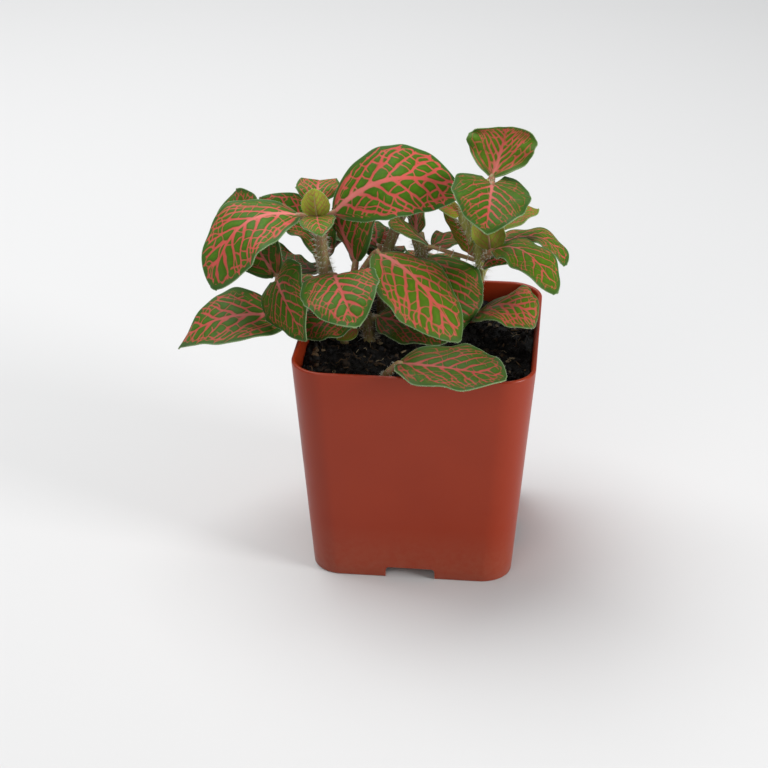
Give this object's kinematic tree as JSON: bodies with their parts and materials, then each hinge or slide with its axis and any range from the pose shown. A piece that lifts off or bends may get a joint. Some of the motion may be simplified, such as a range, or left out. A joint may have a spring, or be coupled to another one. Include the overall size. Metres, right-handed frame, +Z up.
{
  "type": "potted nerve plant",
  "caption": "Small fittonia, a nerve plant with pink-veined green leaves, in soil in a tapered square plastic nursery pot with notched feet.",
  "frame": {"origin": "under the middle of the whole object's outline, at the height of the pot's feet", "axes": "+Z up out of the pot; -Y is the front, where the long lying leaf hangs over the rim; +X to the right seen from the front"},
  "size_m": [0.0898, 0.0714, 0.102],
  "materials": {
    "terracotta_plastic": "satin moulded polypropylene in terracotta red",
    "potting_soil": "loose dark peat with fibres and bark flecks",
    "leaf_green": "soft satin leaf with coral-pink veins"
  },
  "bodies": {
    "root": {"pot": "terracotta_plastic", "soil": "potting_soil", "shoot_left": "leaf_green", "shoot_far_left": "leaf_green", "shoot_middle": "leaf_green", "shoot_back": "leaf_green", "shoot_back_right": "leaf_green", "shoot_right": "leaf_green", "shoot_front": "leaf_green"}
  },
  "joints": []
}
